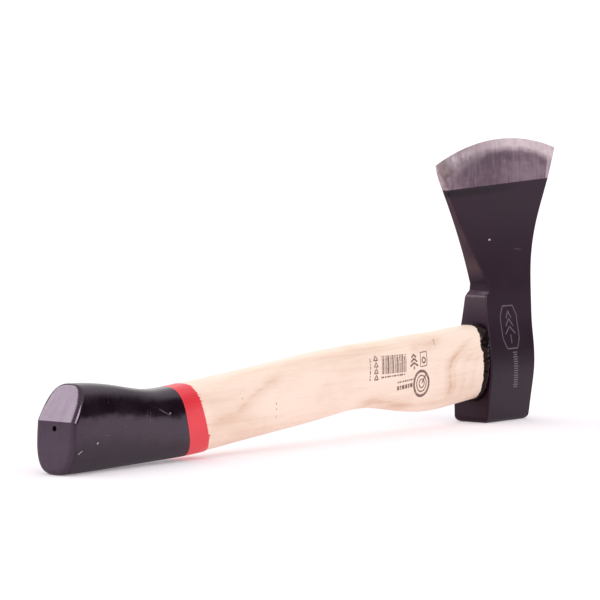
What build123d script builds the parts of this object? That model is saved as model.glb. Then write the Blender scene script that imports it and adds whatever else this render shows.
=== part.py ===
from build123d import *
import math
import os

# A one-hand hatchet standing on its poll.  Millimetres.
# Origin: middle of the poll's flat face.  +Z runs up to the cutting edge, +X runs
# along the handle towards the head, and the tool is the same on both sides of Y = 0.

# --- handle ---------------------------------------------------------------
# Wood outline at stations along the handle: x, underside z, top z, thickness.
HANDLE_STATIONS = [
    (-388, 0.7, 44.6, 25.0),
    (-372, 0.35, 44.7, 25.6),
    (-356, 0.5, 44.3, 25.4),
    (-338, 0.9, 42.2, 24.6),
    (-311, 1.5, 38.3, 23.2),
    (-280, 2.5, 39.8, 22.6),
    (-245, 5.6, 42.9, 22.2),
    (-204, 9.4, 46.8, 22.0),
    (-165, 13.4, 50.3, 22.0),
    (-131, 16.1, 52.4, 22.2),
    (-105, 13.4, 53.7, 22.5),
    (-76, 10.3, 55.0, 22.8),
    (-50, 11.7, 56.3, 23.0),
    (-16, 14.8, 58.0, 23.0),
]
SQUARENESS = 2.9            # superellipse exponent of the handle's section
SECTION_POINTS = 24
END_X = -379.2              # middle of the lower end facet
END_Z = 17.0
END_LEAN = 4.0              # the lower facet's foot stands out, degrees
BEVEL_Z = 26.9              # where the upper facet starts
BEVEL_LEAN = 30.0           # upper facet, degrees off the vertical
END_ROUNDING = 2.4
PILOT_RADIUS = 1.4
PILOT_DEPTH = 12.0
PILOT_Z = 23.3

# --- coats ----------------------------------------------------------------
COAT = 0.35                 # lacquer thickness
DIP_Z = 20.0                # height at which the two dip lines are given
BLACK_X = -291.0            # end of the black dip
BLACK_LEAN = -14.0          # the dip lines lean forward at the foot, degrees
RED_X = -276.4              # end of the red band
RED_LEAN = -19.0

# --- eye, tenon and wedges --------------------------------------------------
EYE_RISE = 3.6              # the eye climbs towards the toe side, degrees
EYE_HEIGHT = 38.0
EYE_WIDTH = 17.5
SHOULDER_X = -24.8          # where the full handle section ends
SHOULDER_Z = 36.0
TENON_LENGTH = 51.0
TENON_ROOT = 4.0            # the tenon solid starts this far inside the shaft
KERF_DEPTH = 32.0
KERF_HEIGHT = 33.0
KERF_MOUTH = 3.0            # kerf and wooden wedge at the tenon's end
KERF_ROOT = 0.8
STEEL_WEDGE_WIDTH = 13.0
STEEL_WEDGE_DEPTH = 16.0
STEEL_WEDGE_BACK = 2.4
STEEL_WEDGE_TIP = 0.5
STEEL_WEDGE_SPACING = 17.0
RESIN_OVERLAP = 2.4         # the resin bead stands this far outside the eye
RESIN_REACH = 10.0

# --- head -------------------------------------------------------------------
# Side outline: corner points in X, Z, each with its rounding radius.
HEAD_CORNERS = [
    ((-22.2, 0.0), 0),          # poll, handle side
    ((-17.4, 74.4), 2.6),       # top of the eye boss
    ((-13.7, 77.8), 0),         # foot of the beard
    ((-13.9, 81.4), 5.0),
    ((-70.6, 172.0), 0),        # beyond the heel, trimmed by the edge arc
    ((70.7, 172.0), 0),         # beyond the toe, trimmed by the edge arc
    ((32.5, 96.7), 150.0),
    ((21.6, 0.0), 0),           # poll, toe side
]
# Half thickness of the forging at heights up the head.
CHEEK_POINTS = [
    (11.7, 0.0),
    (13.1, 18.0),
    (13.8, 31.0),
    (12.7, 43.0),
    (10.0, 57.5),
    (7.9, 74.0),
    (4.9, 94.0),
    (3.0, 112.0),
    (2.3, 126.0),
    (2.1, 140.0),
]
CHEEK_FLARE = 0.08          # how fast the forging thickens just above the poll
CHEEK_SLOPE = 0.015         # taper of the forging at the grind line
CHEEK_TOP = 172.0
EDGE_BREAK = 1.0            # rounding of the long edges
OFF_MIDDLE = 0.5            # long edges lie this far out from the middle plane
FLAT_RUN = 0.9              # and run up the head, not along it
POLL_ROUNDING = 3.6
EDGE_RADIUS = 193.5         # cutting edge arc
EDGE_TOP = 167.5
EDGE_CENTRE_X = 19.4
EDGE_HALF = 0.15            # half the width left at the edge
BEVEL_SLOPE = 0.165         # honed bevel, half thickness per millimetre
GRIND_SLOPE = 0.047         # ground facet
GRIND_X = 3.4               # a point on the grind line
GRIND_Z = 140.3
GRIND_HALF = 2.1
GRIND_RISE = 3.5            # the grind line climbs towards the toe, degrees
TOE_FACET_POINT = (54.5, 1.74, 150.0)     # small facet ground along the toe's corner
TOE_FACET_NORMAL = (0.115, 1.0, 0.02)

EYE_AXIS = Vector(math.cos(math.radians(EYE_RISE)), 0, math.sin(math.radians(EYE_RISE)))
EYE_PLANE = Plane(origin=(SHOULDER_X, 0, SHOULDER_Z), x_dir=(0, 1, 0), z_dir=EYE_AXIS)
BIG = 500.0                 # cutting bodies that must pass the whole tool
WIDE = 50.0                 # cutting bodies that must pass the head's thickness


def half_space(x, z, lean, towards_end):
    """Everything on one side of a plane across the handle, leaning back at the top."""
    lean = math.radians(lean)
    side = -1 if towards_end else 1
    normal = Vector(side * math.cos(lean), 0, -side * math.sin(lean))
    plane = Plane(origin=(x, 0, z), x_dir=(0, 1, 0), z_dir=normal)
    return plane * Box(BIG, BIG, BIG, align=(Align.CENTER, Align.CENTER, Align.MIN))


def handle_section(x, bottom, top, thickness, grow):
    """The handle's rounded-box section in the plane X = x, as a superellipse."""
    half_y = thickness / 2 + grow
    half_z = (top - bottom) / 2 + grow
    middle = (top + bottom) / 2
    points = []
    for i in range(SECTION_POINTS):
        angle = 2 * math.pi * i / SECTION_POINTS
        c = math.cos(angle)
        s = math.sin(angle)
        y = half_y * math.copysign(abs(c) ** (2 / SQUARENESS), c)
        z = half_z * math.copysign(abs(s) ** (2 / SQUARENESS), s)
        points.append((y, middle + z))
    plane = Plane(origin=(x, 0, 0), x_dir=(0, 1, 0), z_dir=(1, 0, 0))
    return plane * make_face(Spline(*points, periodic=True))


def handle_blank(grow):
    """The shaped handle with its faceted end, grown outwards by grow."""
    body = loft([handle_section(*station, grow) for station in HANDLE_STATIONS])
    ridge_x = END_X + (BEVEL_Z - END_Z) * math.tan(math.radians(END_LEAN)) - grow
    body &= half_space(ridge_x, BEVEL_Z, END_LEAN, False)
    body &= half_space(ridge_x, BEVEL_Z, BEVEL_LEAN, False)
    end_faces = body.faces().filter_by(GeomType.PLANE).sort_by(Axis.X)[:2]
    rims = [e for f in end_faces for e in f.edges() if e.geom_type != GeomType.LINE]
    body = fillet(rims, END_ROUNDING + grow)
    pilot = Plane(origin=(END_X - WIDE, 0, PILOT_Z), z_dir=(1, 0, 0))
    return body - pilot * Cylinder(
        PILOT_RADIUS, WIDE + PILOT_DEPTH, align=(Align.CENTER, Align.CENTER, Align.MIN)
    )


def eye_slot(grow, start, length):
    """A round-ended bar on the eye's axis, from start along it."""
    outline = SlotOverall(EYE_HEIGHT + 2 * grow, EYE_WIDTH + 2 * grow, rotation=90)
    return EYE_PLANE * Pos(0, 0, start) * extrude(outline, length)


def tapered_wedge(height, depth, back, tip, offset, turn):
    """A wedge driven in from the tenon's end, offset from its middle and turned about its axis."""
    outline = Polygon(
        (-back / 2, TENON_LENGTH),
        (back / 2, TENON_LENGTH),
        (tip / 2, TENON_LENGTH - depth),
        (-tip / 2, TENON_LENGTH - depth),
        align=None,
    )
    blade = extrude(Plane.XZ * outline, height / 2, both=True)
    return EYE_PLANE * Pos(0, offset, 0) * Rot(0, 0, turn) * blade


def make_handle():
    """The shaft up to its square shoulder, and the tenon that fills the eye."""
    shaft = handle_blank(0) & half_space(SHOULDER_X, SHOULDER_Z, 0, True)
    return shaft + eye_slot(0, -TENON_ROOT, TENON_ROOT + TENON_LENGTH)


def cheek_prism():
    """The forging's thickness from poll to edge, drawn through the whole width."""
    top_half = CHEEK_POINTS[-1][0] - CHEEK_SLOPE * (CHEEK_TOP - CHEEK_POINTS[-1][1])
    curve = Spline(*CHEEK_POINTS, tangents=[(CHEEK_FLARE, 1), (-CHEEK_SLOPE, 1)])
    top = Line(CHEEK_POINTS[-1], (top_half, CHEEK_TOP))
    back = Polyline((top_half, CHEEK_TOP), (0, CHEEK_TOP), (0, 0), CHEEK_POINTS[0])
    half = make_face([curve, top, *back.edges()])
    outline = half + mirror(half, Plane.YZ)
    return extrude(Plane.YZ * outline, BIG / 2, both=True)


def head_blank():
    """The forging before it is ground and pierced, with its long edges rounded."""
    points = [point for point, radius in HEAD_CORNERS]
    radii = [radius for point, radius in HEAD_CORNERS]
    side = make_face(FilletPolyline(*points, radius=radii, close=True))
    blank = extrude(Plane.XZ * side, WIDE, both=True) & cheek_prism()
    poll = blank.faces().sort_by(Axis.Z)[0]
    blank = fillet(poll.edges(), POLL_ROUNDING)
    side_edges = [e for e in blank.edges() if abs(e.center().Y) > OFF_MIDDLE]
    long_edges = [e for e in side_edges if abs((e @ 0).X - (e @ 1).X) < FLAT_RUN * e.length]
    return fillet(long_edges, EDGE_BREAK)


def edge_lens():
    """A double cone about the cutting arc's centre: trims the arc and hones both sides."""
    rim = (EDGE_RADIUS, EDGE_HALF)
    hub = (0, EDGE_HALF + BEVEL_SLOPE * EDGE_RADIUS)
    outline = Polyline(hub, rim, (rim[0], -rim[1]), (0, -hub[1]), close=True)
    lens = revolve(make_face(outline), Axis.Y)
    return Pos(EDGE_CENTRE_X, 0, EDGE_TOP - EDGE_RADIUS) * lens


def grind_cut(side):
    """What the ground facet takes off above the grind line, on one side."""
    rise = math.tan(math.radians(GRIND_RISE))
    normal = Vector(-rise * (GRIND_SLOPE - CHEEK_SLOPE), side, GRIND_SLOPE)
    line = Vector(1, -side * rise * CHEEK_SLOPE, rise)
    plane = Plane(origin=(GRIND_X, side * GRIND_HALF, GRIND_Z), x_dir=line * -side, z_dir=normal)
    return plane * Box(BIG, WIDE, WIDE, align=(Align.CENTER, Align.MIN, Align.MIN))


def toe_cut(side):
    """What the toe's corner facet takes off, on one side."""
    x, y, z = TOE_FACET_POINT
    nx, ny, nz = TOE_FACET_NORMAL
    plane = Plane(origin=(x, side * y, z), z_dir=(nx, side * ny, nz))
    return plane * Box(WIDE, WIDE, WIDE, align=(Align.CENTER, Align.CENTER, Align.MIN))


def make_head():
    """The finished head: edge arc and bevels, ground facets, and the eye through it."""
    head = head_blank() & edge_lens()
    for side in (-1, 1):
        head -= grind_cut(side)
        head -= toe_cut(side)
    return head - eye_slot(0, -WIDE, BIG)


def make_resin_bead():
    """Black resin squeezed out between the handle's shoulder and the head, round the tenon."""
    ring = eye_slot(RESIN_OVERLAP, -TENON_ROOT, RESIN_REACH)
    ring &= half_space(SHOULDER_X, SHOULDER_Z, 0, False)
    return ring - head - handle


head = make_head()
handle = make_handle()
wood_wedge = tapered_wedge(KERF_HEIGHT, KERF_DEPTH, KERF_MOUTH, KERF_ROOT, 0, 0)
steel_wedges = [
    tapered_wedge(STEEL_WEDGE_WIDTH, STEEL_WEDGE_DEPTH, STEEL_WEDGE_BACK, STEEL_WEDGE_TIP, offset, 90)
    for offset in (-STEEL_WEDGE_SPACING / 2, STEEL_WEDGE_SPACING / 2)
]
for blade in steel_wedges:
    handle -= blade
    wood_wedge -= blade
handle -= wood_wedge

skin = handle_blank(COAT) - handle_blank(0)
before_black = half_space(BLACK_X, DIP_Z, BLACK_LEAN, True)
before_red = half_space(RED_X, DIP_Z, RED_LEAN, True)

parts = {
    "head": head,
    "handle": handle,
    "wood_wedge": wood_wedge,
    "steel_wedges": Compound(steel_wedges),
    "eye_resin_bead": make_resin_bead(),
    "grip_dip_coat": skin & before_black,
    "red_band_coat": (skin & before_red) - before_black,
}

os.makedirs("parts", exist_ok=True)
for name, shape in parts.items():
    export_step(shape, f"parts/{name}.step")
    print(name, round(shape.volume / 1000, 2), "cm3")
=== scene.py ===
import math

import bmesh
import bpy
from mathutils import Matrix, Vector, noise
from mathutils.bvhtree import BVHTree


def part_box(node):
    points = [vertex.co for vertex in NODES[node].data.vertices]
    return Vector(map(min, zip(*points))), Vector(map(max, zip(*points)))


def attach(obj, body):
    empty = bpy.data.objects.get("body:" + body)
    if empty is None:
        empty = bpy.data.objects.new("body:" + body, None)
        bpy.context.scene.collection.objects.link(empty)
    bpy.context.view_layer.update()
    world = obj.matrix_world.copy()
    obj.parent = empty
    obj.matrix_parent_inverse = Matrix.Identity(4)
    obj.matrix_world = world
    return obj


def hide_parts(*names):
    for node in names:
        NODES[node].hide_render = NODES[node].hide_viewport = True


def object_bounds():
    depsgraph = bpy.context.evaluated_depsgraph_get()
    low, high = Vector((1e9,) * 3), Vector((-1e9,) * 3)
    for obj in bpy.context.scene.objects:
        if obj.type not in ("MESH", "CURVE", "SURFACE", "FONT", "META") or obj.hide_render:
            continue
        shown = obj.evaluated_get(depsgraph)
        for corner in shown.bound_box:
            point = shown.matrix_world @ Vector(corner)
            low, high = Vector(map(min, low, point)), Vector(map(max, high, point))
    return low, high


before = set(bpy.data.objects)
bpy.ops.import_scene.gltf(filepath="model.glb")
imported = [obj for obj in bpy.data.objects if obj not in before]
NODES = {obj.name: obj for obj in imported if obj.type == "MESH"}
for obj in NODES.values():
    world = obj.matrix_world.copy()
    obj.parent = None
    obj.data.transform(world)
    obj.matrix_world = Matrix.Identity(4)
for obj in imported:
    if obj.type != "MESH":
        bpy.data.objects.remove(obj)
CAD_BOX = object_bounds()
BODY = "root"
MM = 0.001


# --- node trees ---------------------------------------------------------------------
class Tree:
    """The node tree of a material or a world, built from short calls that return sockets."""

    def __init__(self, owner):
        self.owner = owner
        self.owner.use_nodes = True
        self.tree = owner.node_tree
        self.tree.nodes.clear()
        self.coordinates = self.make("ShaderNodeTexCoord").outputs

    def make(self, kind, **settings):
        node = self.tree.nodes.new(kind)
        for key, value in settings.items():
            setattr(node, key, value)
        return node

    def put(self, socket, value):
        if isinstance(value, bpy.types.NodeSocket):
            self.tree.links.new(value, socket)
        elif isinstance(value, tuple) and len(value) == 3 and socket.type == "RGBA":
            socket.default_value = (*value, 1.0)
        else:
            socket.default_value = value

    def math(self, operation, a, b=0.0):
        node = self.make("ShaderNodeMath", operation=operation)
        self.put(node.inputs[0], a)
        self.put(node.inputs[1], b)
        return node.outputs[0]

    def minus(self, a, b):
        return self.math("SUBTRACT", a, b)

    def product(self, *factors):
        total = factors[0]
        for factor in factors[1:]:
            total = self.math("MULTIPLY", total, factor)
        return total

    def sum(self, *terms):
        total = terms[0]
        for term in terms[1:]:
            total = self.math("ADD", total, term)
        return total

    def along(self, vector, direction):
        """How far the vector reaches in that direction."""
        node = self.make("ShaderNodeVectorMath", operation="DOT_PRODUCT")
        self.put(node.inputs[0], vector)
        node.inputs[1].default_value = direction
        return node.outputs["Value"]

    def split(self, vector):
        """The x, y and z parts of a vector."""
        node = self.make("ShaderNodeSeparateXYZ")
        self.put(node.inputs[0], vector)
        return node.outputs

    def stretch(self, scale, shift=(0, 0, 0), turn=(0, 0, 0)):
        """Object coordinates in millimetres, shifted, turned and scaled."""
        node = self.make("ShaderNodeMapping", vector_type="POINT")
        self.put(node.inputs["Vector"], self.coordinates["Object"])
        node.inputs["Location"].default_value = shift
        node.inputs["Rotation"].default_value = [math.radians(a) for a in turn]
        node.inputs["Scale"].default_value = [s / MM for s in scale]
        return node.outputs[0]

    def xyz(self):
        """The three coordinates in millimetres."""
        return self.split(self.stretch((1, 1, 1)))

    def facing(self):
        """The parts of the direction that the surface faces."""
        return self.split(self.make("ShaderNodeNewGeometry").outputs["Normal"])

    def noise(self, place, detail=3.0, rough=0.5, distortion=0.0):
        node = self.make("ShaderNodeTexNoise")
        self.put(node.inputs["Vector"], place)
        node.inputs["Scale"].default_value = 1.0
        node.inputs["Detail"].default_value = detail
        node.inputs["Roughness"].default_value = rough
        node.inputs["Distortion"].default_value = distortion
        return node.outputs["Fac"]

    def spots(self, place, size):
        """1 inside scattered round spots of that size, in cells of one unit, 0 outside."""
        node = self.make("ShaderNodeTexVoronoi")
        self.put(node.inputs["Vector"], place)
        node.inputs["Scale"].default_value = 1.0
        node.inputs["Randomness"].default_value = 1.0
        return self.ramp(node.outputs["Distance"], size, size * 0.6)

    def curve(self, value, points):
        """A smooth curve through points (value, result)."""
        xs = [x for x, y in points]
        ys = [y for x, y in points]
        low, high = min(ys), max(ys)
        across = self.make("ShaderNodeMapRange")
        self.put(across.inputs["Value"], value)
        across.inputs["From Min"].default_value = xs[0]
        across.inputs["From Max"].default_value = xs[-1]
        node = self.make("ShaderNodeFloatCurve")
        self.put(node.inputs["Value"], across.outputs["Result"])
        line = node.mapping.curves[0]
        while len(line.points) < len(points):
            line.points.new(0.5, 0.5)
        for knot, (x, y) in zip(line.points, points):
            knot.location = ((x - xs[0]) / (xs[-1] - xs[0]), (y - low) / (high - low))
        node.mapping.update()
        return self.range(node.outputs["Value"], low, high)

    def near(self, value, centre, width):
        """1 where value equals centre, falling smoothly to 0 that far away."""
        gap = self.math("ABSOLUTE", self.math("SUBTRACT", value, centre))
        return self.ramp(gap, width, 0.0)

    def swing(self, value, reach):
        """A 0..1 noise as a swing of that reach either side of nothing."""
        return self.math("MULTIPLY", self.math("SUBTRACT", value, 0.5), 2 * reach)

    def ramp(self, value, low, high):
        """A smooth step of value from 0 at low to 1 at high; low may be the larger."""
        node = self.make("ShaderNodeMapRange", interpolation_type="SMOOTHSTEP")
        self.put(node.inputs["Value"], value)
        turned = low > high
        node.inputs["From Min"].default_value = min(low, high)
        node.inputs["From Max"].default_value = max(low, high)
        node.inputs["To Min"].default_value = 1.0 if turned else 0.0
        node.inputs["To Max"].default_value = 0.0 if turned else 1.0
        return node.outputs["Result"]

    def range(self, value, low, high):
        """value from 0..1 to low..high."""
        node = self.make("ShaderNodeMapRange")
        self.put(node.inputs["Value"], value)
        node.inputs["To Min"].default_value = low
        node.inputs["To Max"].default_value = high
        return node.outputs["Result"]

    def mix(self, amount, a, b):
        node = self.make("ShaderNodeMix", data_type="RGBA")
        self.put(node.inputs["Factor"], amount)
        self.put(node.inputs["A"], a)
        self.put(node.inputs["B"], b)
        return node.outputs["Result"]

    def bump(self, height, strength, distance, normal=None):
        node = self.make("ShaderNodeBump")
        node.inputs["Strength"].default_value = strength
        node.inputs["Distance"].default_value = distance * MM
        self.put(node.inputs["Height"], height)
        if normal is not None:
            self.put(node.inputs["Normal"], normal)
        return node.outputs["Normal"]

    def finish(self, **sockets):
        shader = self.make("ShaderNodeBsdfPrincipled")
        for key, value in sockets.items():
            self.put(shader.inputs[key.replace("_", " ")], value)
        out = self.make("ShaderNodeOutputMaterial")
        self.put(out.inputs["Surface"], shader.outputs["BSDF"])
        return self.owner


def material_tree(name):
    return Tree(bpy.data.materials.new(name))


# --- places on the part, millimetres in its frame -----------------------------------
GRIND_X, GRIND_Z = 3.4, 140.3    # a point on the straight line where the bare steel starts
GRIND_RISE = math.tan(math.radians(3.5))
WALL_X = -22.2                   # the head's face on the handle side, where it meets the floor
WALL_LEAN = 5.0 / 76.4           # how that face leans toward the toe as it rises
LEDGE_Z = 76.3                   # the boss's top
EDGE_RADIUS = 193.5              # the cutting edge's arc, and the x of its highest point
EDGE_X = 19.4
EDGE_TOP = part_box("head")[1].z / MM
EDGE_CENTRE_Z = EDGE_TOP - EDGE_RADIUS
BAND_DEPTH = 6.2                 # the honed band along the edge, and how it deepens away from
BAND_X, BAND_SPREAD = 12.0, 0.0009  # that x, per millimetre squared
STAIN_X, STAIN_Z = -50.0, 148.0  # a brown stain on the steel near the heel
RED_EDGE_X = -276.4              # wood side of the red band, at the height DIP_Z
DIP_Z = 20.0
RED_LEAN = math.tan(math.radians(19.0))
KNOB_X = -358.0                  # middle of the knob
END_X = -378.0                   # its rubbed end face starts about here
LACQUERED_TO = -330.0            # toward the knob's end from here all bare wood is lacquered
WOOD_SIDE_Y = -11.0              # the handle's near side
# How the ground steel's tone changes from the heel to the toe: x, tone.
STEEL_TONE = [
    (-58, 0.14), (-46, 0.10), (-32, -0.06), (-18, -0.12), (2, -0.10),
    (18, 0.03), (36, 0.08), (52, 0.06), (66, 0.0),
]
# Darker growth lines that cross the near side of the wood: strength, then points x, z.
STREAKS = [
    (1.25, [(-281, 15), (-272, 18.5), (-252, 23), (-238, 30), (-220, 38.5), (-206, 43)]),
    (0.55, [(-268, 9), (-247, 11.5), (-215, 13.2), (-174, 15.0)]),
    (0.30, [(-224, 45), (-200, 46), (-147, 49), (-110, 50.5), (-90, 51)]),
    (1.30, [(-62, 14), (-58.6, 22), (-58.2, 27), (-58.6, 35), (-55.5, 40), (-48, 44), (-33, 50.5)]),
    (0.85, [(-57, 15), (-54.4, 22), (-53.6, 28), (-53.9, 35), (-51.5, 39), (-44, 43), (-31, 48)]),
    (1.50, [(-150, 18.5), (-138, 20.6), (-122, 20.4), (-108, 18), (-86, 16)]),
    (1.10, [(-98, 47.5), (-84, 50), (-62, 52)]),
    (0.95, [(-58.4, 30), (-58.0, 36), (-54.5, 41), (-48, 45), (-38, 50), (-26, 55)]),
    (0.60, [(-47, 15), (-45.5, 23), (-44.5, 31), (-41.5, 38), (-33, 44), (-25, 48)]),
    (0.50, [(-38, 17), (-36, 25), (-34.5, 33), (-31, 39), (-25, 43)]),
]

# --- colours, linear ----------------------------------------------------------------
PALE_ASH, DARK_ASH = (0.945, 0.755, 0.640), (0.70, 0.44, 0.31)
PALE_WEDGE, DARK_WEDGE = (0.52, 0.34, 0.21), (0.32, 0.18, 0.10)
WOOD_PORE = (0.36, 0.20, 0.12)
RED_STAIN = (0.78, 0.05, 0.07)
HOLE_BLACK = (0.01, 0.007, 0.009)
BLACK_DEEP, BLACK_THIN = (0.0075, 0.0025, 0.006), (0.012, 0.006, 0.011)
BLACK_SHADE = (0.003, 0.0, 0.002)
BLACK_RUBBED = (0.034, 0.018, 0.032)
BLACK_SHEEN = (1.0, 0.75, 0.98, 1.0)
RED_DEEP, RED_THIN = (0.74, 0.022, 0.040), (0.80, 0.032, 0.05)
RED_SHEEN = (1.0, 0.8, 0.8, 1.0)
DUST_GREY = (0.35, 0.30, 0.33)
STEEL_DARK, STEEL_PALE = (0.205, 0.148, 0.182), (0.42, 0.325, 0.378)
HONED_DARK, HONED_PALE = (0.56, 0.455, 0.49), (0.80, 0.67, 0.70)
STEEL_STAIN = (0.20, 0.135, 0.125)
PAINT_DARK, PAINT_PALE = (0.011, 0.0025, 0.0095), (0.018, 0.005, 0.015)
PAINT_LOW = (0.004, 0.0, 0.003)
PAINT_REDDISH_REFLECTION = (0.046, 0.027, 0.024)
PAINT_SHADE_FOOT = (0.006, 0.0, 0.0)
PAINT_REFLECTED_GREY = (0.064, 0.050, 0.052)
PAINT_SCUFFED = (0.16, 0.12, 0.14)
PAINT_HIGHLIGHT = (0.17, 0.125, 0.155)
PAINT_DUST = (0.5, 0.45, 0.45)
PAINT_SHEEN = (1.0, 0.68, 0.93, 1.0)
RESIN_DEEP, RESIN_THIN = (0.002, 0.001, 0.001), (0.010, 0.004, 0.004)
RESIN_SHEEN = (1.0, 0.70, 0.72, 1.0)
BRUSHED_DARK, BRUSHED_PALE = (0.25, 0.24, 0.24), (0.55, 0.53, 0.52)
INK_BROWN, WOOD_UNDER_INK = (0.155, 0.080, 0.068), (0.66, 0.45, 0.36)
ETCHED_GREY, PAINT_IN_ETCHING = (0.125, 0.082, 0.115), (0.035, 0.02, 0.03)
SCRATCH_GREY, BLACK_IN_SCRATCH = (0.12, 0.085, 0.11), (0.02, 0.012, 0.02)
SPECK_BROWN, WOOD_IN_SPECK = (0.33, 0.235, 0.20), (0.70, 0.52, 0.42)
PRIMER_PALE, PRIMER_DIRTY = (0.50, 0.42, 0.46), (0.12, 0.09, 0.11)
SHADE_BLACK = (0.0, 0.0, 0.0)
WHITE = (1.0, 1.0, 1.0, 1.0)


# --- materials ----------------------------------------------------------------------
def streak_tone(t, strength, points, x, height, run, broken):
    """One darker growth line through points x, z: a thin line with a soft halo beside it."""
    wide = abs(points[0][0] - points[-1][0])
    tall = abs(points[0][1] - points[-1][1])
    if wide < 2 * tall:
        # an upright line is followed up its height
        points = [(high, across) for across, high in points]
        along, level = height, run
    else:
        along, level = x, height
    first, last = points[0][0], points[-1][0]
    fade = (last - first) / 4
    ends = t.product(t.ramp(along, first, first + fade), t.ramp(along, last, last - fade))
    gap = t.minus(level, t.curve(along, points))
    line = t.product(t.near(gap, 0.0, 2.4), ends, t.ramp(broken, 0.3, 0.65), 0.28 * strength)
    halo = t.product(t.near(gap, -1.2, 7.0), ends, t.range(broken, 0.4, 1.3), 0.24 * strength)
    return t.sum(line, halo)


def wood_material(name, pale, dark):
    """Sanded ash: fibres and growth rings along the handle, broad darker streaks."""
    t = material_tree(name)
    x, y, z = t.xyz()
    wander = t.noise(t.stretch((0.006, 0.03, 0.03)), 2.0)
    across = t.sum(t.product(y, 0.55), z)
    place = t.sum(t.minus(across, t.product(x, 0.045)), t.product(wander, 12.0))
    ring_gap = 3.1
    rings = t.ramp(t.math("SINE", t.product(place, 2 * math.pi / ring_gap)), 0.1, 1.0)
    patches = t.noise(t.stretch((0.015, 0.09, 0.09), (3, 8, 1)), 3.0)
    rings = t.product(rings, t.ramp(patches, 0.35, 0.7))
    fibres = t.noise(t.stretch((0.03, 2.2, 2.2)), 4.0, 0.7)
    pores = t.ramp(t.noise(t.stretch((0.12, 3.6, 3.6), (7, 3, 5)), 2.0, 0.6), 0.62, 0.74)
    broad = t.ramp(t.noise(t.stretch((0.009, 0.10, 0.10), (2, 1, 4)), 3.0, 0.6, 0.6), 0.46, 0.72)
    cloud = t.ramp(t.noise(t.stretch((0.03, 0.05, 0.05), (9, 2, 6)), 3.0), 0.4, 0.75)
    tone = t.sum(t.product(rings, 0.09), t.product(broad, 0.32), t.product(cloud, 0.22))
    tone = t.sum(tone, t.swing(fibres, 0.19))

    # the lines that lean across the side, blurred and broken up by the fibres
    ripple = t.swing(t.noise(t.stretch((0.05, 0.09, 0.09), (8, 1, 5)), 3.0, 0.6), 2.6)
    height = t.sum(z, t.product(t.minus(y, WOOD_SIDE_Y), 0.3), ripple)
    run = t.sum(x, t.swing(fibres, 1.8), ripple)
    broken = t.noise(t.stretch((0.05, 0.3, 0.3), (1, 5, 9)), 3.0, 0.6)
    for strength, points in STREAKS:
        tone = t.sum(tone, streak_tone(t, strength, points, x, height, run, broken))
    colour = t.mix(t.math("MAXIMUM", tone, 0.0), pale, dark)
    colour = t.mix(t.product(pores, 0.25), colour, WOOD_PORE)

    # red lacquer crept a little way along the fibres past the band's edge
    past_red = t.sum(t.minus(x, RED_EDGE_X), t.product(t.minus(z, DIP_Z), RED_LEAN))
    creep = t.ramp(t.noise(t.stretch((0.35, 0.8, 0.8)), 3.0, 0.7), 0.46, 0.72)
    crept = t.ramp(t.minus(past_red, t.product(creep, 2.8)), 0.1, -0.3)
    colour = t.mix(crept, colour, RED_STAIN)
    colour = t.mix(t.ramp(x, LACQUERED_TO, LACQUERED_TO - 2.0), colour, HOLE_BLACK)
    return t.finish(
        Base_Color=colour,
        Roughness=t.range(fibres, 0.36, 0.56),
        Specular_IOR_Level=0.35,
        Normal=t.bump(t.minus(fibres, t.product(pores, 0.6)), 0.3, 0.12),
    )


def lacquer_material(name, deep, thin, gloss, sheen, sag_and_shade):
    """Dipped lacquer: slow waves, the grain showing through, dust specks and scratches."""
    t = material_tree(name)
    waves = t.noise(t.stretch((0.035, 0.08, 0.08)), 2.0)
    grain = t.noise(t.stretch((0.04, 1.3, 1.3)), 3.0, 0.6)
    dust = t.spots(t.stretch((0.10, 0.10, 0.10), (3, 1, 2)), 0.035)
    scratch = t.noise(t.stretch((0.5, 2.5, 0.11), (1, 4, 2), (0, 35, 20)), 1.0)
    scratch = t.ramp(scratch, 0.74, 0.80)
    cloud = t.noise(t.stretch((0.06, 0.07, 0.07), (5, 5, 1)), 3.0)
    smears = t.ramp(t.noise(t.stretch((0.02, 0.25, 0.25), (1, 7, 3)), 3.0, 0.6), 0.5, 0.75)
    colour = t.mix(t.ramp(cloud, 0.3, 0.7), deep, thin)
    marks = t.math("MAXIMUM", t.product(dust, 0.6), t.product(scratch, 0.3))
    colour = t.mix(t.product(marks, 0.5), colour, DUST_GREY)

    # the deep dip ran down and sagged on the sides, given as a bump, and painted shade darkens them low
    # down; the end face is rubbed and smudged
    x, y, z = t.xyz()
    drift = t.swing(t.noise(t.stretch((0.04, 0.05, 0.02), (2, 6, 0)), 3.0, 0.6), 9.0)
    rise = t.sum(z, t.product(t.minus(x, KNOB_X), 0.07), drift)
    shade_top, bulge_top = 21.0, 40.5
    shade_low = t.ramp(rise, shade_top, shade_top - 11.0) if sag_and_shade else 0.0
    colour = t.mix(shade_low, colour, BLACK_SHADE)
    rubbed_and_highlight = t.product(t.ramp(x, END_X + 0.5, END_X - 1.5), t.ramp(grain, 0.1, 0.7))
    colour = t.mix(rubbed_and_highlight, colour, BLACK_RUBBED)
    smudges = t.ramp(t.noise(t.stretch((0.3, 0.3, 0.3), (4, 4, 4)), 4.0, 0.7), 0.45, 0.7)
    smudged = t.product(t.ramp(x, END_X + 4.0, END_X), smudges)
    rough = t.sum(t.product(cloud, 0.5), t.product(smears, 0.4), marks, t.product(shade_low, 1.6), smudged)

    normal = t.bump(t.ramp(rise, bulge_top, bulge_top - 17.0), 1.0, sag_and_shade)
    normal = t.bump(waves, 0.5, 0.5, normal)
    normal = t.bump(grain, 0.3, 0.03, normal)
    normal = t.bump(dust, 0.5, 0.12, normal)
    return t.finish(
        Base_Color=colour,
        Roughness=t.sum(t.product(rough, 0.2), gloss),
        Specular_IOR_Level=0.64,
        Specular_Tint=sheen,
        Normal=normal,
    )


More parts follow.
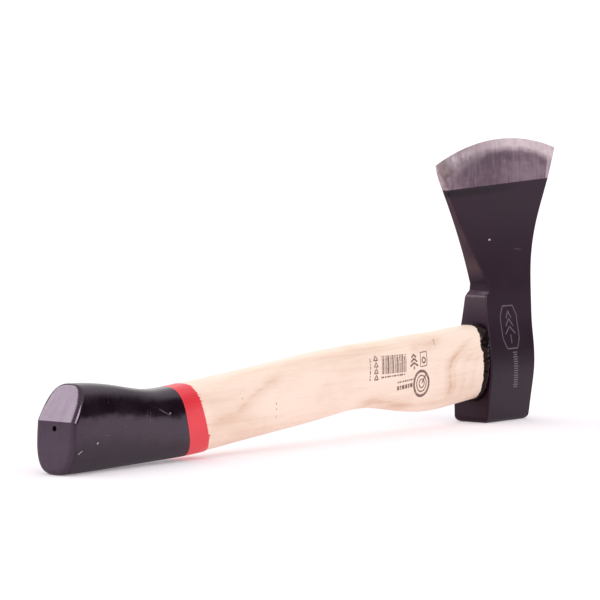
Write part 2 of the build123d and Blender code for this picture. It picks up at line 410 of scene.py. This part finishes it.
def ground_steel(t, x, z, mottle, cloud, facing):
    """The bare bit: its colour, the bright honed band along the edge, and the grinding lines."""
    # depth below the cutting arc, and the band that follows it and broadens at both ends
    dx = t.minus(x, EDGE_X)
    dz = t.minus(z, EDGE_CENTRE_Z)
    reach = t.math("SQRT", t.sum(t.product(dx, dx), t.product(dz, dz)))
    depth = t.minus(EDGE_RADIUS, reach)
    off_middle = t.minus(x, BAND_X)
    spread = t.product(off_middle, off_middle, BAND_SPREAD)
    wavy = t.swing(t.noise(t.stretch((0.06, 0.05, 0.02), (4, 0, 0)), 2.0), 2.2)
    fine = t.noise(t.stretch((2.3, 0.6, 0.05)), 3.0, 0.75)
    coarse = t.noise(t.stretch((0.5, 0.3, 0.03), (2, 2, 2), (0, 3, 0)), 3.0, 0.6)
    heelward = t.ramp(x, 6.0, -40.0)
    soft = t.range(heelward, 2.4, 6.0)
    band_depth = t.sum(depth, wavy, t.swing(fine, 0.6), t.swing(mottle, 2.0))
    band_gap = t.minus(band_depth, t.sum(spread, BAND_DEPTH))
    band = t.ramp(t.math("DIVIDE", band_gap, soft), 1.0, -1.0)
    dulled = t.product(heelward, t.ramp(mottle, 0.3, 0.6))
    band = t.product(band, t.range(dulled, 1.0, 0.45))
    toe_facet = t.product(t.ramp(facing["X"], 0.03, 0.09), t.ramp(facing["X"], 0.4, 0.3))

    lines = t.product(t.minus(fine, 0.5), t.range(cloud, 0.1, 0.7))
    hatch = t.swing(t.noise(t.stretch((0.06, 0.4, 1.6), (6, 2, 2)), 2.0), 0.06)
    grain = t.sum(lines, hatch, t.product(coarse, 0.40), t.product(mottle, 0.60))
    below_band = t.product(t.near(band_gap, 4.2, 4.5), t.ramp(x, -15.0, 8.0), 0.10)
    grain = t.minus(t.sum(grain, t.curve(x, STEEL_TONE)), below_band)
    lightness = t.ramp(grain, 0.25, 0.75)
    steel = t.mix(lightness, STEEL_DARK, STEEL_PALE)
    honed = t.mix(lightness, HONED_DARK, HONED_PALE)
    steel = t.mix(t.math("MAXIMUM", band, t.product(toe_facet, 0.8)), steel, honed)
    stain_dx = t.math("ABSOLUTE", t.minus(x, STAIN_X))
    stain_dz = t.math("ABSOLUTE", t.minus(z, STAIN_Z))
    stain = t.ramp(t.sum(stain_dx, stain_dz, t.swing(mottle, 14.0)), 13.0, 3.0)
    return t.mix(t.product(stain, 0.7), steel, STEEL_STAIN), band, grain


def satin_paint(t, place, above, mottle, cloud, facing, peel):
    """The black paint's colour: darker low down; painted reflections, painted shade and a painted ledge
    highlight on the handle side; painted shade under the grind line.
    """
    x, y, z = place
    scuff = t.noise(t.stretch((0.7, 0.7, 0.07), (3, 3, 3), (0, 20, 0)), 2.0)
    scuff = t.ramp(scuff, 0.70, 0.80)
    dust = t.spots(t.stretch((0.045, 0.045, 0.045), (1, 2, 3)), 0.02)
    paint = t.mix(cloud, PAINT_DARK, PAINT_PALE)
    paint = t.mix(t.product(t.ramp(z, 75.0, 25.0), t.range(peel, 0.5, 1.0)), paint, PAINT_LOW)

    backward = t.ramp(facing["X"], -0.3, -0.8)
    # painted reflection: reddish-brown patches on the handle-side face above the ledge
    reflection_patches = t.ramp(t.noise(t.stretch((0.05, 0.09, 0.03), (5, 2, 8)), 2.0), 0.2, 0.6)
    above_ledge = t.ramp(z, LEDGE_Z + 7.7, LEDGE_Z + 15.7)
    paint = t.mix(t.product(backward, above_ledge, reflection_patches), paint, PAINT_REDDISH_REFLECTION)
    # painted shade: the handle-side face goes near black low down, below the handle
    paint = t.mix(t.product(backward, t.ramp(z, 24.0, 14.0)), paint, PAINT_SHADE_FOOT)
    # painted reflection: the handle-side face paler toward the ledge, just under it
    painted_reflection = t.product(t.ramp(z, 58.0, 77.0), t.range(mottle, 0.55, 1.15))
    painted_reflection = t.sum(painted_reflection, t.product(t.ramp(y, 0.0, 13.0), t.ramp(z, 50.0, 62.0), 0.3))
    painted_reflection = t.product(painted_reflection, backward, t.ramp(z, LEDGE_Z - 0.7, LEDGE_Z - 2.3), 0.8)
    paint = t.mix(painted_reflection, paint, PAINT_REFLECTED_GREY)
    paint = t.mix(t.product(scuff, 0.10), paint, PAINT_SCUFFED)

    # painted shade: black on the paint just under the grind line toward the heel, and in the recess
    # above the ledge
    shade_under_grind = t.product(t.near(above, -2.6, 3.6), t.ramp(x, 28.0, -4.0))
    recess_shade = t.product(t.near(z, LEDGE_Z + 6.2, 4.5), t.ramp(facing["X"], -0.35, -0.6))
    recess_shade = t.product(recess_shade, t.ramp(x, -11.0, -13.0))
    paint = t.mix(t.math("MAXIMUM", shade_under_grind, recess_shade), paint, SHADE_BLACK)
    # painted highlight: a paler patch on the ledge's top, on the near side toward the handle
    ledge_highlight = t.product(t.near(z, LEDGE_Z, 1.5), t.ramp(facing["Z"], 0.4, 0.7), t.ramp(y, 2.0, -4.0))
    rubbed_and_highlight = t.product(ledge_highlight, t.ramp(mottle, 0.3, 0.6), t.ramp(x, -10.0, -14.0))
    paint = t.mix(t.product(rubbed_and_highlight, 0.65), paint, PAINT_HIGHLIGHT)
    return t.mix(t.product(dust, 0.6), paint, PAINT_DUST)


def head_material(name):
    """Satin paint up to the grind line, bare ground steel above it."""
    t = material_tree(name)
    x, y, z = t.xyz()
    line = t.sum(t.product(t.minus(x, GRIND_X), GRIND_RISE), GRIND_Z)
    ragged = t.swing(t.noise(t.stretch((0.8, 0.8, 0.8)), 3.0), 0.25)
    above = t.minus(t.sum(z, ragged), line)
    bare = t.ramp(above, -0.2, 0.2)
    mottle = t.noise(t.stretch((0.16, 0.16, 0.16), (6, 2, 2)), 4.0, 0.65)
    cloud = t.noise(t.stretch((0.05, 0.05, 0.05), (8, 1, 1)), 3.0)
    peel = t.noise(t.stretch((0.9, 0.9, 0.9)), 3.0, 0.6)
    facing = t.facing()
    steel, band, grain = ground_steel(t, x, z, mottle, cloud, facing)
    paint = satin_paint(t, (x, y, z), above, mottle, cloud, facing, peel)
    honed = t.product(bare, band)
    return t.finish(
        Base_Color=t.mix(bare, paint, steel),
        Metallic=t.minus(bare, t.product(honed, 0.5)),
        Roughness=t.sum(t.range(cloud, 0.34, 0.46), t.product(honed, 0.15)),
        Specular_IOR_Level=0.32,
        Specular_Tint=PAINT_SHEEN,
        Normal=t.bump(t.mix(bare, peel, grain), 0.4, 0.06),
    )


def steel_material(name):
    """Brushed steel for the cross wedges."""
    t = material_tree(name)
    brushed = t.noise(t.stretch((0.2, 0.2, 3.0)), 3.0)
    return t.finish(
        Base_Color=t.mix(brushed, BRUSHED_DARK, BRUSHED_PALE),
        Metallic=1.0,
        Roughness=t.range(brushed, 0.35, 0.6),
        Normal=t.bump(brushed, 0.3, 0.05),
    )


def resin_material(name):
    """Lumpy black resin, wet looking."""
    t = material_tree(name)
    lumps = t.noise(t.stretch((0.35, 0.35, 0.35)), 3.0)
    return t.finish(
        Base_Color=t.mix(lumps, RESIN_DEEP, RESIN_THIN),
        Roughness=t.range(lumps, 0.10, 0.35),
        Specular_IOR_Level=0.22,
        Specular_Tint=RESIN_SHEEN,
        Normal=t.bump(lumps, 0.5, 0.5),
    )


def mark_material(name, ink, worn, gaps, rough):
    """Ink or etching that has partly rubbed off: ink colour, and what shows in the gaps."""
    t = material_tree(name)
    speckle = t.noise(t.stretch((1.6, 1.6, 1.6)), 3.0, 0.7)
    missing = t.ramp(speckle, gaps, gaps + 0.12)
    return t.finish(
        Base_Color=t.mix(missing, ink, worn),
        Roughness=t.range(speckle, rough, rough + 0.2),
        Normal=t.bump(speckle, 0.2, 0.02),
    )


WOOD = wood_material("ash_wood", PALE_ASH, DARK_ASH)
WEDGE_WOOD = wood_material("wedge_wood", PALE_WEDGE, DARK_WEDGE)
BLACK = lacquer_material("black_lacquer", BLACK_DEEP, BLACK_THIN, 0.12, BLACK_SHEEN, sag_and_shade=0.75)
RED = lacquer_material("red_lacquer", RED_DEEP, RED_THIN, 0.28, RED_SHEEN, sag_and_shade=0.0)
HEAD = head_material("forged_head")
STEEL = steel_material("wedge_steel")
RESIN = resin_material("black_resin")
INK = mark_material("stamp_ink", INK_BROWN, WOOD_UNDER_INK, gaps=0.52, rough=0.5)
ETCH = mark_material("etched_line", ETCHED_GREY, PAINT_IN_ETCHING, gaps=0.58, rough=0.45)
SCRATCH = mark_material("scratch", SCRATCH_GREY, BLACK_IN_SCRATCH, gaps=0.50, rough=0.5)
SPECK = mark_material("mineral_speck", SPECK_BROWN, WOOD_IN_SPECK, gaps=0.55, rough=0.5)
CHIP = mark_material("pale_primer", PRIMER_PALE, PRIMER_DIRTY, gaps=0.56, rough=0.5)

FINISHES = {
    "head": HEAD,
    "handle": WOOD,
    "wood_wedge": WEDGE_WOOD,
    "steel_wedges": STEEL,
    "eye_resin_bead": RESIN,
    "grip_dip_coat": BLACK,
    "red_band_coat": RED,
}
for node_name, finish in FINISHES.items():
    for slot in NODES[node_name].material_slots:
        slot.material = finish


# --- thin marks laid on a side face -------------------------------------------------
class Side:
    """The near side face of CAD nodes, as depth in y over x and z."""

    def __init__(self, *names):
        depsgraph = bpy.context.evaluated_depsgraph_get()
        self.trees = [BVHTree.FromObject(NODES[name], depsgraph) for name in names]

    def at(self, x, z, lift):
        """The point lift millimetres out from the surface at x, z."""
        start = Vector((x, -50.0, z)) * MM
        found = [tree.ray_cast(start, Vector((0, 1, 0)))[0] for tree in self.trees]
        near = min((point for point in found if point), key=lambda point: point.y)
        return Vector((near.x, near.y - lift * MM, near.z))


MARK_PROUD = 0.03                # how far a mark stands out of the surface, and how deep its sides go
MARK_SUNK = 0.05


def even_route(points, closed, step):
    """Points (x, z) no more than step apart along the line through the given ones."""
    line = [Vector(p) for p in points]
    if closed:
        line.append(line[0])
    route = [line[0]]
    for a, b in zip(line, line[1:]):
        count = max(1, math.ceil((b - a).length / step))
        route += [a.lerp(b, i / count) for i in range(1, count + 1)]
    if closed:
        route.pop()
    return route


def join_rings(mesh, rings, closed):
    """Faces between each ring of corners and the next, and back to the first if closed."""
    pairs = list(zip(rings, rings[1:]))
    if closed:
        pairs.append((rings[-1], rings[0]))
    for a, b in pairs:
        for j in range(len(a)):
            k = (j + 1) % len(a)
            mesh.faces.new((a[j], a[k], b[k], b[j]))


def stroke(mesh, side, points, width, closed=False, step=1.2):
    """A closed strip of that width along points (x, z), draped over the side face."""
    route = even_route(points, closed, step)
    last = len(route) - 1
    rings = []
    for i, here in enumerate(route):
        before = route[i - 1] if closed or i else here
        after = route[(i + 1) % len(route)] if closed or i < last else here
        along = (after - before).normalized()
        out = Vector((-along.y, along.x)) * (width / 2)
        left, right = here + out, here - out
        corners = [(left, MARK_PROUD), (right, MARK_PROUD), (right, -MARK_SUNK), (left, -MARK_SUNK)]
        rings.append([mesh.verts.new(side.at(p.x, p.y, lift)) for p, lift in corners])
    join_rings(mesh, rings, closed)
    if not closed:
        mesh.faces.new(rings[0][::-1])
        mesh.faces.new(rings[-1])


def circle(x, z, radius, squash=1.0, count=28):
    """Points round a ring, squashed or stretched in z."""
    turns = [2 * math.pi * i / count for i in range(count)]
    return [(x + radius * math.cos(a), z + radius * squash * math.sin(a)) for a in turns]


def add_piece(name, mesh, material, smooth=False):
    """A finished piece from a bmesh, riding on the body."""
    bmesh.ops.recalc_face_normals(mesh, faces=mesh.faces)
    data = bpy.data.meshes.new(name)
    mesh.to_mesh(data)
    mesh.free()
    data.materials.append(material)
    for face in data.polygons:
        face.use_smooth = smooth
    piece = bpy.data.objects.new(name, data)
    bpy.context.scene.collection.objects.link(piece)
    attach(piece, BODY)
    return piece


def dashes(mesh, side, start, end, lengths, gap, width):
    """A broken line from start to end: dashes of the listed lengths in turn."""
    start, end = Vector(start), Vector(end)
    along = (end - start).normalized()
    place, number = 0.0, 0
    while place + 0.3 < (end - start).length:
        stop = min(place + lengths[number % len(lengths)], (end - start).length)
        stroke(mesh, side, [start + along * place, start + along * stop], width)
        place = stop + gap
        number += 1


def stamp_bars(mesh, side):
    """A row of upright bars of mixed widths, leaning a little toward the head."""
    widths = [0.5, 1.1, 0.4, 0.8, 1.5, 0.5, 0.4, 1.2, 0.7, 0.4, 1.4, 0.9, 0.5, 1.1, 0.8, 0.5]
    gaps = (0.5, 0.9, 0.6)
    low, high, lean = 35.2, 45.4, 0.6
    place = -123.6
    for number, width in enumerate(widths):
        middle = place + width / 2
        stroke(mesh, side, [(middle, low), (middle + lean, high)], width, step=2.0)
        place += width + gaps[number % len(gaps)]


def stamp_rows(mesh, side):
    """Broken lines under and beside the bars, and a column of four small triangles."""
    dashes(mesh, side, (-124.2, 33.4), (-102.0, 34.0), (2.6, 1.4, 3.2, 1.0), 0.8, 0.9)
    dashes(mesh, side, (-109.0, 29.6), (-92.2, 30.8), (1.0, 1.6, 0.8), 0.6, 0.9)
    dashes(mesh, side, (-109.2, 26.3), (-93.4, 27.6), (1.9, 1.2, 2.3), 0.7, 2.3)
    for z in (32.4, 36.0, 39.6, 43.2):
        corners = [(-130.6, z), (-127.0, z + 0.1), (-128.6, z + 2.6)]
        stroke(mesh, side, corners, 0.8, closed=True)
    dashes(mesh, side, (-134.6, 32.0), (-133.6, 45.2), (1.5, 0.8, 2.2), 0.7, 0.8)


def stamp_log_end(mesh, side):
    """A log's end: bark, two rings and a drying crack."""
    x, z, squash = -86.4, 27.8, 1.02
    stroke(mesh, side, circle(x, z, 7.0, squash), 1.6, closed=True)
    stroke(mesh, side, circle(x, z, 4.5, squash), 0.8, closed=True)
    stroke(mesh, side, circle(x + 0.2, z, 2.4, squash), 0.8, closed=True)
    stroke(mesh, side, [(x + 0.3, z), (x + 2.2, z + 2.6), (x + 4.6, z + 5.2)], 0.9)


def stamp_fir(mesh, side):
    """A small fir of three chevrons and a trunk."""
    x, top = -93.2, 44.6
    for level in range(3):
        half = 2.1 + 0.8 * level
        z = top - 2.4 * level
        stroke(mesh, side, [(x - half, z - 1.7), (x, z), (x + half, z - 1.7)], 1.2)
    stroke(mesh, side, [(x, 37.9), (x, 36.2)], 1.2)


def stamp_framed_ring(mesh, side):
    """A small ring in a leaning frame."""
    frame_line = [(-87.2, 37.4), (-81.2, 37.8), (-80.8, 45.8), (-86.8, 45.4)]
    stroke(mesh, side, frame_line, 0.6, closed=True)
    stroke(mesh, side, circle(-84.0, 41.0, 1.5), 1.0, closed=True)


def make_stamp():
    """Generic ink marks on the wood."""
    mesh = bmesh.new()
    wood = Side("handle")
    stamp_bars(mesh, wood)
    stamp_rows(mesh, wood)
    stamp_log_end(mesh, wood)
    stamp_fir(mesh, wood)
    stamp_framed_ring(mesh, wood)
    return add_piece("ink_stamp", mesh, INK)


def make_wood_marks():
    """A short check at the top and a few mineral specks."""
    mesh = bmesh.new()
    wood = Side("handle")
    stroke(mesh, wood, [(-70.6, 52.2), (-71.2, 50.6), (-71.7, 48.8)], 0.55, step=0.8)
    specks = [(-217.6, 26.0, 1.4), (-217.4, 22.6, 0.9), (-217.4, 18.7, 1.2), (-246.0, 30.4, 0.8)]
    for x, z, length in specks:
        stroke(mesh, wood, [(x, z), (x + 0.2, z - length)], 0.5)
    return add_piece("wood_specks", mesh, SPECK)


def make_engraving():
    """A plain etched frame with a fir shape, and a column of short dashes below it."""
    mesh = bmesh.new()
    cheek = Side("head")
    x, z = 3.2, 55.6
    half_top, half_side = 5.2, 8.4
    high_corner, side_corner = 12.6, 6.6
    frame_line = [
        (x - half_top, z + high_corner), (x + half_top, z + high_corner),
        (x + half_side, z + side_corner), (x + half_side, z - side_corner),
        (x + half_top, z - high_corner), (x - half_top, z - high_corner),
        (x - half_side, z - side_corner), (x - half_side, z + side_corner),
    ]
    stroke(mesh, cheek, frame_line, 0.7, closed=True)
    for level in range(3):
        half = 2.6 + 1.2 * level
        top = z + 9.6 - 4.6 * level
        stroke(mesh, cheek, [(x - half, top - 4.4), (x, top), (x + half, top - 4.4)], 0.8)
    stroke(mesh, cheek, [(x, z - 4.4), (x, z - 9.6)], 0.8)

    column_x, column_top, spacing = 5.2, 40.6, 1.36
    reaches = (2.3, 1.7, 2.5, 2.0)
    for number in range(16):
        level = column_top - spacing * number
        reach = reaches[number % len(reaches)]
        stroke(mesh, cheek, [(column_x - reach, level), (column_x + reach, level)], 0.7)
    return add_piece("cheek_etching", mesh, ETCH)


def make_scratches():
    """A few single scratches and nicks on the black lacquer and the painted cheek."""
    mesh = bmesh.new()
    skin = Side("grip_dip_coat", "head")
    lines = [
        ([(-313.4, 29.1), (-309.0, 27.0), (-305.2, 25.5)], 0.35),
        ([(-320.2, 28.1), (-320.9, 23.5)], 0.18),
        ([(-356.1, 18.9), (-352.1, 18.6)], 0.25),
        ([(-322.4, 29.0), (-324.0, 24.6)], 0.14),
        ([(17.4, 101.4), (24.2, 101.0)], 0.3),
    ]
    for points, width in lines:
        stroke(mesh, skin, points, width)
    return add_piece("scratches", mesh, SCRATCH)


def make_nicks():
    """A few chips where pale primer shows through the black finish."""
    mesh = bmesh.new()
    skin = Side("grip_dip_coat", "head")
    chips = [
        ([(-375.2, 10.8), (-373.9, 11.7), (-372.6, 12.3)], 0.4),
        ([(-361.9, 15.0), (-361.4, 15.4), (-361.2, 15.9)], 0.8),
        ([(-305.3, 26.6), (-304.4, 26.2)], 0.6),
        ([(-8.9, 107.2), (-7.9, 107.6), (-7.0, 107.4)], 0.9),
    ]
    for points, width in chips:
        stroke(mesh, skin, points, width, step=0.5)
    return add_piece("chips", mesh, CHIP)


def make_resin():
    """The squeezed-out resin: a lumpy closed bead round the shoulder, thick at the near top corner."""
    depsgraph = bpy.context.evaluated_depsgraph_get()
    wood = BVHTree.FromObject(NODES["handle"], depsgraph)
    low, high = (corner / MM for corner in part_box("eye_resin_bead"))
    middle = Vector((low.x - 2.0, 0, (low.z + high.z) / 2))
    around, about = 220, 20
    reach, radius, sunk = 0.9, 1.75, 0.6
    corner_turn, corner_spread = math.radians(131), 0.36
    corner_reach, corner_radius = 2.6, 0.25
    mesh = bmesh.new()
    rings = []
    for i in range(around):
        turn = 2 * math.pi * i / around
        outward = Vector((0, math.cos(turn), math.sin(turn)))
        skin = wood.ray_cast((middle + outward * 40.0) * MM, -outward)[0] / MM
        wall_x = WALL_X + WALL_LEAN * skin.z
        corner = math.exp(-((turn - corner_turn) / corner_spread) ** 2)
        start_x = low.x - reach - corner_reach * corner
        half_gap = (wall_x + 0.3 - start_x) / 2
        centre = Vector((start_x + half_gap, skin.y, skin.z)) - outward * sunk
        size = radius + corner_radius * corner
        ring = []
        for j in range(about):
            angle = 2 * math.pi * j / about
            c, s = math.cos(angle), math.sin(angle)
            spoke = Vector((c * half_gap, 0, 0)) + outward * s * size * (1 + 0.5 * c)
            lump = noise.noise(centre * 0.30 + spoke * 0.4)
            lump += 0.7 * noise.noise(centre * 0.75 + spoke * 0.8)
            ring.append(mesh.verts.new((centre + spoke * (1 + 0.25 * lump)) * MM))
        rings.append(ring)
    join_rings(mesh, rings, closed=True)
    bead = add_piece("resin_bead", mesh, RESIN, smooth=True)
    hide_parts("eye_resin_bead")
    return bead


make_stamp()
make_wood_marks()
make_engraving()
make_scratches()
make_nicks()
make_resin()


# --- stage --------------------------------------------------------------------------
VIEW_TURN = math.radians(51.5)
VIEW_DROP = math.radians(3.051)
VIEW_FROM = Vector((-1.46363, -1.01835, 0.16625))
VIEW_ALONG = Vector((
    math.cos(VIEW_DROP) * math.sin(VIEW_TURN),
    math.cos(VIEW_DROP) * math.cos(VIEW_TURN),
    -math.sin(VIEW_DROP),
))
LENS_MM = 180.0
SENSOR_MM = 36.0
FLOOR_HALF = 12.0
PAPER_DARK, PAPER_PALE = (0.730, 0.705, 0.720), (0.745, 0.720, 0.735)
PAPER_GLOW = (1.0, 0.90, 0.96, 1.0)
ROOM_FRONT = (0.50, -0.86, 0.0)
OVERHEAD = (0.0, 0.5, 0.866)
BACKDROP_STRENGTH = 1.2
AMBIENT_LOW, AMBIENT_HIGH = 1.06, 1.42
REFLECTED_BRIGHT, REFLECTED_DARK = 1.0, 0.03
SOFTBOX_DISTANCE = 2.2
# name, direction from the tool, size in metres, power in watts
SOFTBOXES = [
    ("far_left_softbox", (-0.437, 0.622, 0.65), 1.5, 40.0),
    ("near_left_strip", (-0.141, -0.854, 0.5), 1.0, 34.0),
]


def make_camera():
    data = bpy.data.cameras.new("camera")
    data.lens = LENS_MM
    data.sensor_width = SENSOR_MM
    data.clip_start = 0.05
    data.clip_end = 60.0
    camera = bpy.data.objects.new("camera", data)
    camera.location = VIEW_FROM
    camera.rotation_mode = "QUATERNION"
    camera.rotation_quaternion = VIEW_ALONG.to_track_quat("-Z", "Y")
    bpy.context.scene.collection.objects.link(camera)
    bpy.context.scene.camera = camera


def make_floor():
    """Pale matt paper that glows a little, which keeps the tool's shadow soft and light."""
    half = FLOOR_HALF
    mesh = bpy.data.meshes.new("floor")
    corners = [(-half, -half, 0), (half, -half, 0), (half, half, 0), (-half, half, 0)]
    mesh.from_pydata(corners, [], [(0, 1, 2, 3)])
    floor = bpy.data.objects.new("floor", mesh)
    bpy.context.scene.collection.objects.link(floor)
    t = material_tree("floor_paper")
    fleck = t.noise(t.stretch((0.4, 0.4, 0.4)), 2.0)
    floor.data.materials.append(t.finish(
        Base_Color=t.mix(fleck, PAPER_DARK, PAPER_PALE),
        Roughness=1.0,
        Specular_IOR_Level=0.0,
        Emission_Color=PAPER_GLOW,
        Emission_Strength=0.25,
    ))


def make_world():
    """White to look at; in reflections a dark room in front and bright paper elsewhere."""
    world = bpy.data.worlds.new("studio")
    bpy.context.scene.world = world
    t = Tree(world)

    def background(strength):
        node = t.make("ShaderNodeBackground")
        t.put(node.inputs["Color"], WHITE)
        t.put(node.inputs["Strength"], strength)
        return node.outputs[0]

    def choose(amount, a, b):
        node = t.make("ShaderNodeMixShader")
        for socket, value in zip(node.inputs, (amount, a, b)):
            t.put(socket, value)
        return node.outputs[0]

    towards = t.coordinates["Generated"]
    up = t.split(towards)["Z"]
    front = t.ramp(t.along(towards, ROOM_FRONT), 0.05, 0.4)
    dark = t.product(t.ramp(up, -0.01, 0.08), t.ramp(up, 0.62, 0.36), front)
    reflected = background(t.range(dark, REFLECTED_BRIGHT, REFLECTED_DARK))
    overhead = t.ramp(t.along(towards, OVERHEAD), 0.3, 1.0)
    ambient = background(t.range(overhead, AMBIENT_LOW, AMBIENT_HIGH))
    paths = t.make("ShaderNodeLightPath").outputs
    lit = choose(paths["Is Glossy Ray"], ambient, reflected)
    seen = choose(paths["Is Camera Ray"], lit, background(BACKDROP_STRENGTH))
    t.put(t.make("ShaderNodeOutputWorld").inputs["Surface"], seen)


def make_softbox(name, towards, size, power):
    """A square panel hung in that direction from the tool, facing it."""
    data = bpy.data.lights.new(name, "AREA")
    data.shape = "SQUARE"
    data.size = size
    data.energy = power
    light = bpy.data.objects.new(name, data)
    middle = (CAD_BOX[0] + CAD_BOX[1]) / 2
    aim = Vector(towards).normalized()
    light.location = middle + aim * SOFTBOX_DISTANCE
    light.rotation_mode = "QUATERNION"
    light.rotation_quaternion = aim.to_track_quat("Z", "Y")
    light.visible_diffuse = False
    bpy.context.scene.collection.objects.link(light)


make_camera()
make_floor()
make_world()
for softbox in SOFTBOXES:
    make_softbox(*softbox)
bpy.context.scene.view_settings.view_transform = "Standard"
